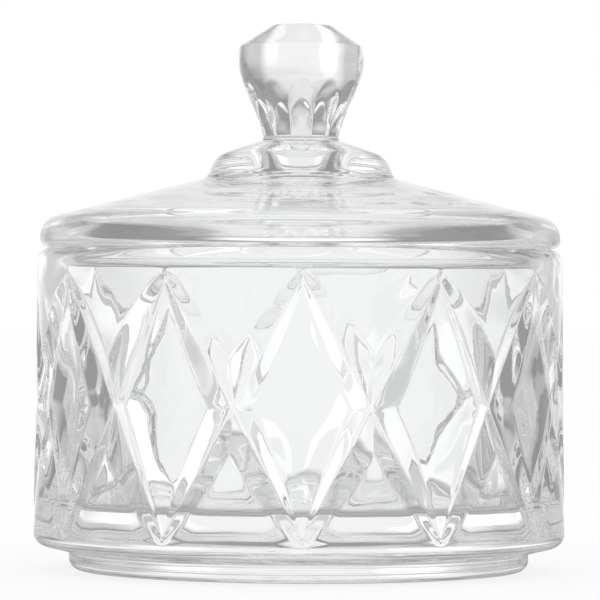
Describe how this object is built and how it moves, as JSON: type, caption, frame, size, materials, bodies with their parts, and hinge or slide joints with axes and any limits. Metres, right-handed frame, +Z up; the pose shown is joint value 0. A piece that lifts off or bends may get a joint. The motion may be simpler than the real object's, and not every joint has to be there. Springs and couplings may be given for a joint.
{
  "type": "lidded glass jar",
  "caption": "Round jar of clear pressed glass with a diamond-cut wall, a raised foot and a low conical lift-off lid with a round knob on a panelled neck.",
  "frame": {"origin": "centre of the ring that the jar stands on, at table height", "axes": "+Z up along the jar's axis; one diamond and one panel of the knob's neck face -Y"},
  "size_m": [0.12, 0.12, 0.1231],
  "materials": {
    "clear_glass": "clear pressed glass, fire-polished"
  },
  "bodies": {
    "jar": {"jar_body": "clear_glass"},
    "lid": {"lid_cover": "clear_glass", "lid_knob": "clear_glass"}
  },
  "joints": [
    {"name": "lid_lift", "type": "slide", "parent": "jar", "child": "lid", "axis": [0, 0, 1], "range_m": [0, 0.1]}
  ]
}
